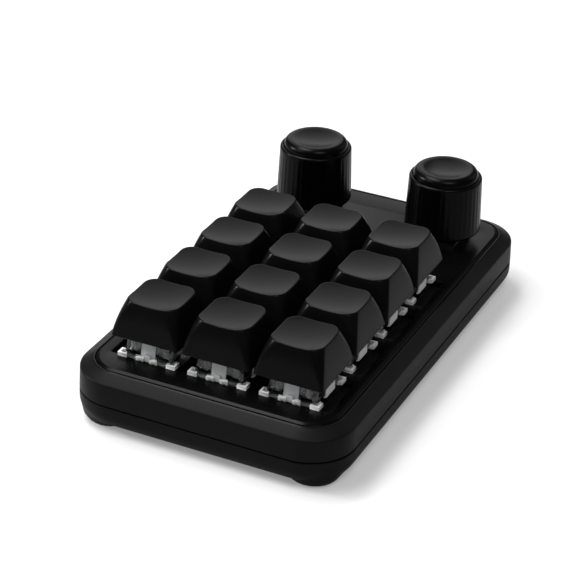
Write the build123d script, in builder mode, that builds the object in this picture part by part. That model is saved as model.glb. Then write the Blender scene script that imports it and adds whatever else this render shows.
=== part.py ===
# A desk keypad: twelve keys and two push-and-turn knobs in a two-part moulded case.
# The origin is on the desk, under the middle of the case. +Y points to the knobs, +Z up.
import os
from math import atan2, degrees

from build123d import *

os.makedirs("parts", exist_ok=True)

# Layout of the keys and knobs
columns = 3
rows = 4
key_pitch = 19.05
knob_row_gap = 31.2  # from the back row of keys to the knobs
switch_hole = 14.0  # depth of the slots that the switches clip into
slot_end = 3.15  # slot length past the outer switches
plate_side = 3.15  # plate left at the ends of the slots
plate_front = 8.05  # plate left in front of the front slot
plate_back = 15.3  # from the knobs to the back edge of the plate

# Plate and case
plate_thickness = 1.5
plate_corner = 8.1
plate_fall = 0.2  # drop of the plate towards its edge
plate_fall_width = 1.1
plate_edge_round = 0.1
plate_groove = 0.3  # shadow gap around the plate
deck_thickness = 1.5  # deck of the upper case, which carries the plate
deck_play = 0.1
rim_width = 0.35
bevel_width = 3.25
bevel_height = 2.1
bevel_edge_round = 0.7
rim_edge_round = 0.3
pocket_edge_round = 0.1
seam_edge_round = 0.2
upper_wall_height = 5.7
upper_wall_draft = 0.16
seam_height = 0.4  # shadow line between the two halves of the case
seam_depth = 0.9
lower_height = 6.6
bottom_round = 4.6
case_wall = 2.2
case_floor = 2.0

# Feet and case screws
foot_height = 1.2  # from the desk to the underside of the case
pad_radius = 5.2
pad_round = 0.25
pad_show = 0.3  # pad height that stands out of its foot
pad_seat_depth = 0.8
pad_play = 0.1
foot_rim = 0.7  # foot around the pad
foot_edge_round = 0.4
foot_flare = 1.6
foot_root = 2.6  # height over which a foot grows into the case
boss_radius = 2.7
boss_front_gap = 0.25  # from the front switches to the front bosses
boss_back_gap = 1.5  # from the encoders to the back bosses
boss_side = 1.2  # boss centre outside the outer switches
screw_head_radius = 2.4
screw_head_height = 1.6
screw_radius = 1.2
screw_length = 9.5
screw_tip_room = 1.0
screw_play = 0.05
screw_clearance = 0.3

# Circuit board
board_drop = 5.0  # from the top of the plate to the top of the board
board_thickness = 1.6
board_side = 2.6  # board past the outer switches
board_clearance = 0.6
board_tongue_width = 20.0
board_post_radius = 2.0
light_size = (3.0, 2.0, 1.2)
light_forward = 4.9  # from a key's centre to its light
light_slot_play = 0.3
chip_side = 7.0
chip_height = 1.0

# Socket in the back wall
socket_width = 8.94
socket_height = 3.26
socket_length = 7.35
socket_shell = 0.3
socket_tongue = (6.7, 4.6, 0.7)
socket_back = 0.7
socket_recess = 0.5
socket_clearance = 0.3

# Switches, with heights from the top of the plate
travel = 4.0
bottom_play = 0.6  # room left under a pressed stem
flange_size = 15.6
flange_height = 1.0
switch_play = 0.05
base_wall = 1.45
base_floor = 1.4
centre_post_radius = 2.0
centre_post_floor = 0.5
post_play = 0.05
tab_width = 1.95  # the two tabs in the middle of the flange's front and back
tab_gap = 1.8
corner_arm = 2.4  # arms of the flange at its corners
side_arm_width = 4.9
side_arm_height = 2.0
side_arm_thickness = 0.4
side_arm_play = 0.05
side_arm_foot = 0.1
cover_base = 13.6
cover_top = 12.0
cover_corner = 1.4
cover_height = 5.2
cover_wall = 1.0
clip_height = 0.8  # clips of the cover, above the flange
clip_setback = 0.2  # from the flange's edge to the clips
clip_play = 0.1
guide_width = 3.9  # pale light guide in the front of the cover
guide_play = 0.05

# Stems and springs
slider_width = 7.2
slider_depth = 5.8
slider_play = 0.15
slider_show = 0.3  # slider above the cover at rest
slider_foot = 1.0  # underside of the slider at rest
shoulder_width = 9.6
shoulder_play = 0.05
cross_span = 4.0
cross_arm = 1.2
cross_height = 3.7
pole_radius = 1.1
pole_reach = 3.2  # pole below the top of the plate at rest
pole_play = 0.2
spring_radius = 2.0
spring_wire = 0.35
spring_pocket_play = 0.15
spring_pocket_depth = 3.0

# Contacts
contact_thickness = 0.3
contact_width = 1.6
contact_side = 4.0  # from the switch's middle
contact_forward = 5.1
contact_bow = 0.8
contact_bow_height = 2.4
contact_rise = 3.4
pin_width = 1.0
pin_length = 3.0  # below the top of the board
pin_play = 0.1
pin_hole_play = 0.2

# Keycaps, with heights from the bottom edge of the cap
cap_lift = 6.0  # from the plate to the bottom edge
cap_gap = 0.85  # between the caps
cap_middle_inset = 0.93
cap_top_inset = 2.4
cap_middle_height = 4.8
cap_height = 9.3
cap_base_corner = 0.8
cap_middle_corner = 1.9
cap_top_corner = 3.4
dish_radius = 42.0
dish_bottom = 8.35
cap_wall = 1.3
cap_hollow_draft = 1.85
cap_hollow_height = 6.9
cap_hollow_corner = 0.6
cap_socket_radius = 2.75
cap_socket_gap = 0.1  # from the slider to the cap's socket
cap_socket_play = 0.05

# Encoders, with heights from the top of the board
encoder_size = 12.0
encoder_floor = 1.0
encoder_frame_height = 2.7
bushing_radius = 3.5
bushing_height = 5.0
shaft_radius = 3.0
shaft_length = 15.0  # above the encoder's frame
shaft_flat = 1.5
shaft_flat_length = 7.0
shaft_play = 0.05
rotor_radius = 4.6
rotor_thickness = 1.0
rotor_play = 0.2
rotor_side_play = 0.3
push_travel = 0.5
push_play = 0.1
push_radius = 3.0
push_thickness = 1.0
push_side_play = 0.2

# Knobs, with heights from the top of the plate
knob_lift = 3.2
knob_height = 20.7
knob_shoulder_height = 19.1
knob_cap_radius = 8.4
knob_cap_round = 1.2
knob_dish_rim = 0.05  # flat edge between the cap's round and its dish
knob_dish_depth = 0.9
knob_groove_width = 0.2
knob_groove_depth = 0.4
knob_shoulder_land = 0.05
knob_shoulder_round = 1.1
knob_skirt_flare = 0.55
knob_foot_round = 0.9
knob_wall = 2.0
knob_roof = 5.0
knob_boss_radius = 4.6
knob_boss_gap = 0.1  # from the start of the shaft's flat to the boss
flute_count = 40
flute_radius = 0.9
flute_depth = 0.12
flute_land = 1.5  # smooth bands below the shoulder and above the foot

standing = (Align.CENTER, Align.CENTER, Align.MIN)
upright = (Align.CENTER, Align.MIN)
sideways = (Align.MIN, Align.CENTER)

# Places that follow from the layout
body_reach = (columns - 1) * key_pitch / 2 + switch_hole / 2
slot_length = 2 * (body_reach + slot_end)
plate_width = slot_length + 2 * plate_side
key_span = (rows - 1) * key_pitch
plate_depth = plate_front + switch_hole / 2 + key_span + knob_row_gap + plate_back
case_margin = plate_groove + rim_width + bevel_width
case_width = plate_width + 2 * case_margin
case_depth = plate_depth + 2 * case_margin
case_corner = plate_corner + case_margin
deck_hole = switch_hole + 2 * deck_play
front_row = -plate_depth / 2 + plate_front + switch_hole / 2
back_row = front_row + key_span
knob_row = back_row + knob_row_gap
key_columns = [(n - (columns - 1) / 2) * key_pitch for n in range(columns)]
key_rows = [back_row - n * key_pitch for n in range(rows)]
key_places = [(x, y) for y in key_rows for x in key_columns]
knob_places = {"left": (key_columns[0], knob_row), "right": (key_columns[-1], knob_row)}

# Heights above the desk
lower_top = foot_height + lower_height
upper_bottom = lower_top + seam_height
bevel_foot = upper_bottom + upper_wall_height
plate_top = bevel_foot + bevel_height
plate_bottom = plate_top - plate_thickness
floor_top = foot_height + case_floor
board_top = plate_top - board_drop
board_bottom = board_top - board_thickness

# Feet, with a case screw in each, and posts for the board between the keys
boss_x = body_reach + boss_side
boss_front = front_row - switch_hole / 2 - boss_front_gap - boss_radius
boss_back = knob_row + encoder_size / 2 + boss_back_gap + boss_radius
foot_places = [(x, y) for y in (boss_front, boss_back) for x in (-boss_x, boss_x)]
foot_radius = pad_radius + pad_play + foot_rim
pad_top = pad_show + pad_seat_depth
screw_seat = pad_top + screw_head_height + screw_clearance
post_columns = [(key_columns[n] + key_columns[n + 1]) / 2 for n in (0, columns - 2)]
post_rows = [(key_rows[n] + key_rows[n + 1]) / 2 for n in (0, rows - 2)] + [knob_row]
board_post_places = [(x, y) for y in post_rows for x in post_columns]

# Board edges and the socket's place in the back wall
board_front = boss_front + boss_radius + board_clearance
board_back = boss_back - boss_radius - board_clearance
board_tongue_end = case_depth / 2 - case_wall - board_clearance
socket_z = board_bottom - socket_height / 2
socket_mouth = case_depth / 2 - socket_recess
socket_hole_width = socket_width + 2 * socket_clearance
socket_hole_height = socket_height + 2 * socket_clearance

# Switch sizes that follow from the plate, the board and the travel
switch_body = switch_hole - 2 * switch_play
base_cavity = switch_body - 2 * base_wall
base_floor_level = base_floor - board_drop
post_bore_level = -pole_reach - travel - bottom_play
post_foot_level = post_bore_level - centre_post_floor
flange_overhang = (flange_size - switch_body) / 2
notch_width = (flange_size - 2 * corner_arm - 2 * tab_width - tab_gap) / 2
notch_middle = (tab_gap + notch_width) / 2 + tab_width
side_notch_width = flange_size - 2 * corner_arm
cover_roof = flange_height + cover_height
cover_ceiling = cover_roof - cover_wall
cover_ceiling_size = cover_top + (cover_base - cover_top) * cover_wall / cover_height
clip_root = (cover_base - cover_wall) / 2
clip_back = switch_body / 2 + clip_play
clip_front = flange_size / 2 - clip_setback
clip_width = notch_width - 2 * clip_play
toe_width = tab_gap - 2 * clip_play
guide_height = cover_ceiling - flange_height - guide_play
guide_reach = (cover_base - cover_ceiling_size) / 2 + cover_wall + guide_play
slider_top = cover_roof + slider_show
cross_top = slider_top + cross_height
spring_top = slider_foot + spring_pocket_depth
cap_base = key_pitch - cap_gap
cap_middle = cap_base - 2 * cap_middle_inset
cap_top = cap_base - 2 * cap_top_inset
cap_hollow_base = cap_base - 2 * cap_wall
cap_hollow_top = cap_hollow_base - 2 * cap_hollow_draft
cap_socket_foot = slider_top + cap_socket_gap - cap_lift
pin_places = [(-contact_side, -contact_forward), (contact_side, -contact_forward)]
pin_hole_radius = ((pin_width**2 + contact_thickness**2) ** 0.5) / 2 + pin_hole_play

# Encoder and knob sizes that follow from the push travel and the shaft
push_foot = encoder_floor + push_travel + push_play
rotor_foot = push_foot + push_thickness
rotor_well = rotor_foot - push_travel - push_play
encoder_base_height = rotor_foot + rotor_thickness + rotor_play
encoder_top = encoder_base_height + encoder_frame_height
shaft_top = encoder_top + shaft_length
bore_top = shaft_top - board_drop
knob_boss_foot = bore_top - shaft_flat_length + knob_boss_gap
knob_dish_radius = knob_cap_radius - knob_cap_round - knob_dish_rim
knob_groove_radius = knob_cap_radius + knob_groove_width
knob_groove_foot = knob_shoulder_height - knob_groove_depth
knob_shoulder_radius = knob_groove_radius + knob_shoulder_round + knob_shoulder_land
knob_radius = knob_shoulder_radius + knob_skirt_flare
knob_taper = degrees(atan2(knob_skirt_flare, knob_shoulder_height - knob_lift))
flute_axis_radius = (knob_radius + knob_shoulder_radius) / 2 + flute_radius - flute_depth
flute_middle = (knob_lift + knob_shoulder_height) / 2
flute_length = knob_shoulder_height - knob_lift - 2 * flute_land


def case_outline(inset):
    RectangleRounded(case_width - 2 * inset, case_depth - 2 * inset, case_corner - inset)


def plate_outline(inset):
    RectangleRounded(plate_width - 2 * inset, plate_depth - 2 * inset, plate_corner - inset)


def save(part, name):
    part.label = name
    export_step(part, f"parts/{name}.step")


# One foot: a low cone with a rounded edge
with BuildPart() as foot_shape:
    Cone(foot_radius, foot_radius + foot_flare, foot_root, align=standing)
    fillet(foot_shape.faces().sort_by(Axis.Z)[0].edges(), foot_edge_round)

# Lower case: a tray with a rounded bottom edge, feet, screw posts and posts for the board
with BuildPart() as lower_case:
    with BuildSketch(Plane.XY.offset(foot_height)):
        case_outline(0)
    extrude(amount=lower_height)
    fillet(lower_case.faces().sort_by(Axis.Z)[0].edges(), bottom_round)
    fillet(lower_case.faces().sort_by(Axis.Z)[-1].edges(), seam_edge_round)
    with BuildSketch(Plane.XY.offset(lower_top)):
        case_outline(seam_depth)
    extrude(amount=seam_height)
    with BuildSketch(Plane.XY.offset(floor_top)):
        case_outline(case_wall)
    extrude(amount=upper_bottom - floor_top, mode=Mode.SUBTRACT)
    tray_floor = lower_case.faces().filter_by(Plane.XY).sort_by(Axis.Z)[1]
    fillet(tray_floor.edges(), bottom_round - case_wall)
    with Locations(*[(x, y, pad_show) for x, y in foot_places]):
        add(foot_shape.part)
    with BuildSketch(Plane.XY.offset(floor_top)):
        with Locations(*foot_places):
            Circle(boss_radius)
    extrude(amount=upper_bottom - floor_top)
    with BuildSketch(Plane.XY.offset(floor_top)):
        with Locations(*board_post_places):
            Circle(board_post_radius)
    extrude(amount=board_bottom - floor_top)
    with BuildSketch():
        with Locations(*foot_places):
            Circle(pad_radius + pad_play)
    extrude(amount=pad_top, mode=Mode.SUBTRACT)
    with Locations(*[Location((x, y, pad_top), (180, 0, 0)) for x, y in foot_places]):
        CounterBoreHole(
            screw_radius + screw_clearance,
            screw_head_radius + screw_clearance,
            screw_seat - pad_top,
            upper_bottom - pad_top,
        )
    with BuildSketch(Plane.XZ.offset(-case_depth / 2)):
        with Locations((0, socket_z)):
            SlotOverall(socket_hole_width, socket_hole_height)
    extrude(amount=2 * case_wall, mode=Mode.SUBTRACT)
save(lower_case.part, "lower_case")

# Upper case: a drafted wall and a bevel, with a pocket for the plate and a deck that the switches go through
with BuildPart() as upper_case:
    for level, inset in ((upper_bottom, 0), (bevel_foot, upper_wall_draft), (plate_top, bevel_width)):
        with BuildSketch(Plane.XY.offset(level)):
            case_outline(inset)
    loft(ruled=True)
    fillet(upper_case.edges().group_by(Axis.Z)[2], bevel_edge_round)
    fillet(upper_case.edges().group_by(Axis.Z)[-1], rim_edge_round)
    fillet(upper_case.edges().group_by(Axis.Z)[0], seam_edge_round)
    with BuildSketch(Plane.XY.offset(plate_bottom)):
        plate_outline(-plate_groove)
    extrude(amount=plate_thickness, mode=Mode.SUBTRACT)
    rim = upper_case.faces().sort_by(Axis.Z)[-1]
    fillet(rim.inner_wires()[0].edges(), pocket_edge_round)
    with BuildSketch(Plane.XY.offset(upper_bottom)):
        with Locations(*key_places, *knob_places.values()):
            Rectangle(deck_hole, deck_hole)
    extrude(amount=plate_bottom - upper_bottom, mode=Mode.SUBTRACT)
    with BuildSketch(Plane.XY.offset(upper_bottom)):
        case_outline(case_wall)
    extrude(amount=plate_bottom - deck_thickness - upper_bottom, mode=Mode.SUBTRACT)
    with BuildSketch(Plane.XY.offset(upper_bottom)):
        with Locations(*foot_places):
            Circle(boss_radius)
    extrude(amount=plate_bottom - upper_bottom)
    with Locations(*[Location((x, y, upper_bottom), (180, 0, 0)) for x, y in foot_places]):
        Hole(screw_radius + screw_play, screw_seat + screw_length + screw_tip_room - upper_bottom)
    with BuildSketch(Plane.XZ.offset(-case_depth / 2)):
        with Locations((0, socket_z)):
            SlotOverall(socket_hole_width, socket_hole_height)
    extrude(amount=2 * case_wall, mode=Mode.SUBTRACT)
save(upper_case.part, "upper_case")

# Top plate: it falls away a little towards its edge, with one slot for each row of switches and a square hole
# under each knob
with BuildPart() as top_plate:
    for level, inset in ((plate_bottom, 0), (plate_top - plate_fall, 0), (plate_top, plate_fall_width)):
        with BuildSketch(Plane.XY.offset(level)):
            plate_outline(inset)
    loft(ruled=True)
    fillet(top_plate.edges().group_by(Axis.Z)[2], plate_edge_round)
    with BuildSketch(Plane.XY.offset(plate_bottom)):
        with Locations(*[(0, y) for y in key_rows]):
            Rectangle(slot_length, switch_hole)
        with Locations(*knob_places.values()):
            Rectangle(switch_hole, switch_hole)
    extrude(amount=plate_thickness, mode=Mode.SUBTRACT)
save(top_plate.part, "top_plate")

# Rubber pads under the feet
with BuildPart() as rubber_feet:
    with BuildSketch():
        with Locations(*foot_places):
            Circle(pad_radius)
    extrude(amount=pad_top)
    fillet(rubber_feet.faces().group_by(Axis.Z)[0].edges(), pad_round)
save(rubber_feet.part, "rubber_feet")

# Case screws: pan heads in the feet, shanks up into the upper case
with BuildPart() as case_screws:
    with BuildSketch(Plane.XY.offset(screw_seat)):
        with Locations(*foot_places):
            Circle(screw_head_radius)
    extrude(amount=-screw_head_height)
    with BuildSketch(Plane.XY.offset(screw_seat)):
        with Locations(*foot_places):
            Circle(screw_radius)
    extrude(amount=screw_length)
save(case_screws.part, "case_screws")

# Circuit board, with a tongue for the socket and holes for the switches' posts and pins
with BuildPart() as circuit_board:
    with BuildSketch(Plane.XY.offset(board_bottom)):
        with Locations((0, (board_front + board_back) / 2)):
            Rectangle(2 * (body_reach + board_side), board_back - board_front)
        with Locations((0, board_back)):
            Rectangle(board_tongue_width, board_tongue_end - board_back, align=upright)
        with Locations(*key_places):
            Circle(centre_post_radius + post_play, mode=Mode.SUBTRACT)
            with Locations(*pin_places):
                Circle(pin_hole_radius, mode=Mode.SUBTRACT)
    extrude(amount=board_thickness)
save(circuit_board.part, "circuit_board")

# Lights under the keys and the controller between the encoders
with BuildPart() as key_lights:
    with Locations(*[(x, y - light_forward, board_top) for x, y in key_places]):
        Box(*light_size, align=standing)
save(key_lights.part, "key_lights")

with BuildPart() as controller_chip:
    with BuildSketch(Plane.XY.offset(board_top)):
        with Locations((0, knob_row)):
            Rectangle(chip_side, chip_side)
    extrude(amount=chip_height)
save(controller_chip.part, "controller_chip")

# Socket under the board's tongue: a rolled shell with a contact tongue
with BuildPart() as usb_socket:
    with BuildSketch(Plane.XZ.offset(-socket_mouth)):
        with Locations((0, socket_z)):
            SlotOverall(socket_width, socket_height)
    extrude(amount=socket_length)
    with BuildSketch(Plane.XZ.offset(-socket_mouth)):
        with Locations((0, socket_z)):
            SlotOverall(socket_width - 2 * socket_shell, socket_height - 2 * socket_shell)
    extrude(amount=socket_length - socket_back, mode=Mode.SUBTRACT)
    with Locations((0, socket_mouth - socket_length + socket_back, socket_z)):
        Box(*socket_tongue, align=(Align.CENTER, Align.MIN, Align.CENTER))
save(usb_socket.part, "usb_socket")

# One switch's lower housing: clipped body, flange with arms and tabs, hollow, centre post
with BuildPart() as base_shape:
    with BuildSketch():
        Rectangle(flange_size, flange_size)
        with GridLocations(2 * notch_middle, flange_size, 2, 2):
            Rectangle(notch_width, 2 * flange_overhang, mode=Mode.SUBTRACT)
        with GridLocations(0, flange_size, 1, 2):
            Rectangle(tab_gap, 2 * flange_overhang, mode=Mode.SUBTRACT)
        with GridLocations(flange_size, 0, 2, 1):
            Rectangle(2 * flange_overhang, side_notch_width, mode=Mode.SUBTRACT)
    extrude(amount=flange_height)
    with BuildSketch(Plane.XY.offset(side_arm_foot)):
        with GridLocations(cover_base + 2 * side_arm_play + side_arm_thickness, 0, 2, 1):
            Rectangle(side_arm_thickness, side_arm_width)
    extrude(amount=flange_height + side_arm_height - side_arm_foot)
    with BuildSketch():
        Rectangle(switch_body, switch_body)
    extrude(amount=-board_drop)
    with BuildSketch(Plane.XY.offset(-board_drop)):
        Circle(centre_post_radius)
    extrude(amount=post_foot_level + board_drop)
    with BuildSketch(Plane.XY.offset(flange_height)):
        Rectangle(base_cavity, base_cavity)
    extrude(amount=base_floor_level - flange_height, mode=Mode.SUBTRACT)
    with BuildSketch(Plane.XY.offset(base_floor_level)):
        Circle(pole_radius + pole_play)
    extrude(amount=post_bore_level - base_floor_level, mode=Mode.SUBTRACT)
    with BuildSketch(Plane.XY.offset(-board_drop)):
        with Locations((0, -light_forward)):
            Rectangle(light_size[0] + 2 * light_slot_play, light_size[1] + 2 * light_slot_play)
        with Locations(*pin_places):
            Rectangle(pin_width + 2 * pin_play, contact_thickness + 2 * pin_play)
    extrude(amount=board_drop + flange_height, mode=Mode.SUBTRACT)

with BuildPart() as switch_bases:
    with Locations(*[(x, y, plate_top) for x, y in key_places]):
        add(base_shape.part)
save(switch_bases.part, "switch_bases")

# One switch's clear cover: a tapered box with a hole for the slider, a window for the light guide and clips
# that reach down into the flange's notches
with BuildPart() as cover_shape:
    for level, size in ((flange_height, cover_base), (cover_roof, cover_top)):
        with BuildSketch(Plane.XY.offset(level)):
            RectangleRounded(size, size, cover_corner)
    loft(ruled=True)
    for level, size in ((flange_height, cover_base), (cover_ceiling, cover_ceiling_size)):
        with BuildSketch(Plane.XY.offset(level)):
            RectangleRounded(size - 2 * cover_wall, size - 2 * cover_wall, cover_corner - cover_wall / 2)
    loft(ruled=True, mode=Mode.SUBTRACT)
    with BuildSketch(Plane.XY.offset(cover_roof)):
        Rectangle(slider_width + 2 * slider_play, slider_depth + 2 * slider_play)
    extrude(amount=-cover_wall, mode=Mode.SUBTRACT)
    with BuildSketch(Plane.XZ.offset(cover_base / 2)):
        with Locations((0, flange_height)):
            Rectangle(guide_width + 2 * guide_play, guide_height + guide_play, align=upright)
    extrude(amount=-guide_reach, mode=Mode.SUBTRACT)
    with BuildSketch(Plane.XY.offset(flange_height)):
        with GridLocations(2 * notch_middle, clip_front + clip_root, 2, 2):
            Rectangle(clip_width, clip_front - clip_root)
    extrude(amount=clip_height)
    with BuildSketch(Plane.XY.offset(clip_play)):
        with GridLocations(2 * notch_middle, clip_front + clip_back, 2, 2):
            Rectangle(clip_width, clip_front - clip_back)
    extrude(amount=flange_height - clip_play)

with BuildPart() as switch_covers:
    with Locations(*[(x, y, plate_top) for x, y in key_places]):
        add(cover_shape.part)
save(switch_covers.part, "switch_covers")

# One light guide: the piece of cover wall that fills the window, with a toe between the flange's tabs
with BuildPart() as guide_shape:
    for level, size in ((flange_height, cover_base), (cover_roof, cover_top)):
        with BuildSketch(Plane.XY.offset(level)):
            RectangleRounded(size, size, cover_corner)
    loft(ruled=True)
    for level, size in ((flange_height, cover_base), (cover_ceiling, cover_ceiling_size)):
        with BuildSketch(Plane.XY.offset(level)):
            RectangleRounded(size - 2 * cover_wall, size - 2 * cover_wall, cover_corner - cover_wall / 2)
    loft(ruled=True, mode=Mode.SUBTRACT)
    with BuildSketch(Plane.XZ.offset(cover_base / 2)):
        with Locations((0, flange_height)):
            Rectangle(guide_width, guide_height, align=upright)
    extrude(amount=-guide_reach, mode=Mode.INTERSECT)
    with BuildSketch(Plane.XY.offset(flange_height)):
        with Locations((0, -(clip_front + clip_root) / 2)):
            Rectangle(toe_width, clip_front - clip_root)
    extrude(amount=clip_height)
    with BuildSketch(Plane.XY.offset(clip_play)):
        with Locations((0, -(clip_front + clip_back) / 2)):
            Rectangle(toe_width, clip_front - clip_back)
    extrude(amount=flange_height - clip_play)

with BuildPart() as light_guides:
    with Locations(*[(x, y, plate_top) for x, y in key_places]):
        add(guide_shape.part)
save(light_guides.part, "light_guides")

# One contact: a bowed leaf on the housing's floor, with a pin through the board
with BuildPart() as contact_shape:
    with BuildSketch(Plane.YZ):
        with BuildLine():
            Polyline(
                (-contact_forward, base_floor_level),
                (-contact_forward, flange_height),
                (-contact_forward + contact_bow, contact_bow_height),
                (-contact_forward, contact_rise),
            )
        trace(line_width=contact_thickness)
    extrude(amount=contact_width / 2, both=True)
    with BuildSketch(Plane.XY.offset(base_floor_level)):
        with Locations((0, -contact_forward)):
            Rectangle(pin_width, contact_thickness)
    extrude(amount=-base_floor - pin_length)

with BuildPart() as switch_contacts:
    with Locations(*[(x, y, plate_top) for x, y in key_places]):
        with Locations((-contact_side, 0, 0), (contact_side, 0, 0)):
            add(contact_shape.part)
save(switch_contacts.part, "switch_contacts")

# One stem: slider with shoulders, cross for the cap, spring pocket and guide pole
with BuildPart() as stem_shape:
    with BuildSketch(Plane.XY.offset(slider_foot)):
        Rectangle(slider_width, slider_depth)
    extrude(amount=slider_top - slider_foot)
    with BuildSketch(Plane.XY.offset(slider_foot)):
        Rectangle(shoulder_width, slider_depth)
    extrude(amount=cover_ceiling - shoulder_play - slider_foot)
    with BuildSketch(Plane.XY.offset(slider_top)):
        Rectangle(cross_span, cross_arm)
        Rectangle(cross_arm, cross_span)
    extrude(amount=cross_height)
    with BuildSketch(Plane.XY.offset(slider_foot)):
        Circle(spring_radius + spring_pocket_play)
    extrude(amount=spring_pocket_depth, mode=Mode.SUBTRACT)
    with BuildSketch(Plane.XY.offset(-pole_reach)):
        Circle(pole_radius)
    extrude(amount=pole_reach + spring_top)

# One keycap: convex walls, dished top, hollow underside and a cross socket for the stem
with BuildPart() as cap_shape:
    for level, size, corner in (
        (0, cap_base, cap_base_corner),
        (cap_middle_height, cap_middle, cap_middle_corner),
        (cap_height, cap_top, cap_top_corner),
    ):
        with BuildSketch(Plane.XY.offset(level)):
            RectangleRounded(size, size, corner)
    loft()
    with Locations((0, 0, dish_bottom + dish_radius)):
        Sphere(dish_radius, mode=Mode.SUBTRACT)
    for level, size in ((0, cap_hollow_base), (cap_hollow_height, cap_hollow_top)):
        with BuildSketch(Plane.XY.offset(level)):
            RectangleRounded(size, size, cap_hollow_corner)
    loft(ruled=True, mode=Mode.SUBTRACT)
    with BuildSketch(Plane.XY.offset(cap_hollow_height)):
        Circle(cap_socket_radius)
    extrude(amount=cap_socket_foot - cap_hollow_height)
    with BuildSketch(Plane.XY.offset(cap_socket_foot)):
        Rectangle(cross_span + 2 * cap_socket_play, cross_arm + 2 * cap_socket_play)
        Rectangle(cross_arm + 2 * cap_socket_play, cross_span + 2 * cap_socket_play)
    extrude(amount=cross_top - cap_lift - cap_socket_foot, mode=Mode.SUBTRACT)

# One return spring, as the sleeve that its turns fill
with BuildPart() as spring_shape:
    with BuildSketch(Plane.XY.offset(base_floor_level)):
        Circle(spring_radius)
        Circle(spring_radius - spring_wire, mode=Mode.SUBTRACT)
    extrude(amount=spring_top - base_floor_level)

for number, (x, y) in enumerate(key_places):
    place = f"r{number // columns + 1}_c{number % columns + 1}"
    with BuildPart() as stem:
        with Locations((x, y, plate_top)):
            add(stem_shape.part)
    save(stem.part, f"stem_{place}")
    with BuildPart() as keycap:
        with Locations((x, y, plate_top + cap_lift)):
            add(cap_shape.part)
    save(keycap.part, f"keycap_{place}")
    with BuildPart() as spring:
        with Locations((x, y, plate_top)):
            add(spring_shape.part)
    save(spring.part, f"spring_{place}")

# One encoder's plastic base: a box with a well for the rotor and a narrower one for the push slider
with BuildPart() as encoder_base_shape:
    with BuildSketch():
        Rectangle(encoder_size, encoder_size)
    extrude(amount=encoder_base_height)
    with BuildSketch(Plane.XY.offset(encoder_base_height)):
        Circle(rotor_radius + rotor_side_play)
    extrude(amount=rotor_well - encoder_base_height, mode=Mode.SUBTRACT)
    with BuildSketch(Plane.XY.offset(rotor_well)):
        Circle(push_radius + push_side_play)
    extrude(amount=encoder_floor - rotor_well, mode=Mode.SUBTRACT)

with BuildPart() as encoder_bases:
    with Locations(*[(x, y, board_top) for x, y in knob_places.values()]):
        add(encoder_base_shape.part)
save(encoder_bases.part, "encoder_bases")

# One encoder's metal frame with its bushing
with BuildPart() as encoder_frame_shape:
    with BuildSketch(Plane.XY.offset(encoder_base_height)):
        Rectangle(encoder_size, encoder_size)
    extrude(amount=encoder_frame_height)
    with BuildSketch(Plane.XY.offset(encoder_top)):
        Circle(bushing_radius)
    extrude(amount=bushing_height)
    with Locations((0, 0, encoder_top + bushing_height)):
        Hole(shaft_radius + shaft_play)

with BuildPart() as encoder_frames:
    with Locations(*[(x, y, board_top) for x, y in knob_places.values()]):
        add(encoder_frame_shape.part)
save(encoder_frames.part, "encoder_frames")

# One encoder's push slider, under the shaft
with BuildPart() as push_shape:
    with BuildSketch(Plane.XY.offset(push_foot)):
        Circle(push_radius)
    extrude(amount=push_thickness)

# One encoder's shaft: a rotor disc in the base, a round shank and a flat for the knob
with BuildPart() as shaft_shape:
    with BuildSketch(Plane.XY.offset(rotor_foot)):
        Circle(rotor_radius)
    extrude(amount=rotor_thickness)
    with BuildSketch(Plane.XY.offset(rotor_foot)):
        Circle(shaft_radius)
    extrude(amount=shaft_top - rotor_foot)
    with BuildSketch(Plane.XY.offset(shaft_top)):
        with Locations((shaft_radius - shaft_flat, 0)):
            Rectangle(shaft_flat, 2 * shaft_radius, align=sideways)
    extrude(amount=-shaft_flat_length, mode=Mode.SUBTRACT)

# One knob: a fluted tapered skirt, a grooved shoulder and a smooth dished cap, hollow inside
with BuildPart() as knob_shape:
    with BuildSketch(Plane.XZ):
        with BuildLine():
            outline = FilletPolyline(
                (0, knob_lift),
                (knob_radius, knob_lift),
                (knob_shoulder_radius, knob_shoulder_height),
                (knob_groove_radius, knob_shoulder_height),
                (knob_groove_radius, knob_groove_foot),
                (knob_cap_radius, knob_groove_foot),
                (knob_cap_radius, knob_height),
                (knob_dish_radius, knob_height),
                radius=[knob_foot_round, knob_shoulder_round, 0, 0, 0, knob_cap_round],
            )
            dish = TangentArc((0, knob_height - knob_dish_depth), outline @ 1, tangent=(1, 0))
            Line(dish @ 0, outline @ 0)
        make_face()
    revolve(axis=Axis.Z)
    with BuildSketch(Plane.XY.offset(knob_lift)):
        Circle(knob_shoulder_radius - knob_wall)
        Circle(knob_boss_radius, mode=Mode.SUBTRACT)
    extrude(amount=knob_height - knob_roof - knob_lift, mode=Mode.SUBTRACT)
    with BuildSketch(Plane.XY.offset(knob_lift)):
        Circle(knob_boss_radius)
    extrude(amount=knob_boss_foot - knob_lift, mode=Mode.SUBTRACT)
    with BuildSketch(Plane.XY.offset(knob_boss_foot)):
        Circle(shaft_radius + shaft_play)
        with Locations((shaft_radius - shaft_flat + shaft_play, 0)):
            Rectangle(2 * shaft_flat, 2 * knob_boss_radius, align=sideways, mode=Mode.SUBTRACT)
    extrude(amount=bore_top - knob_boss_foot, mode=Mode.SUBTRACT)
    with PolarLocations(flute_axis_radius, flute_count):
        with Locations((0, 0, flute_middle)):
            Cylinder(flute_radius, flute_length, rotation=(0, -knob_taper, 0), mode=Mode.SUBTRACT)

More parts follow.
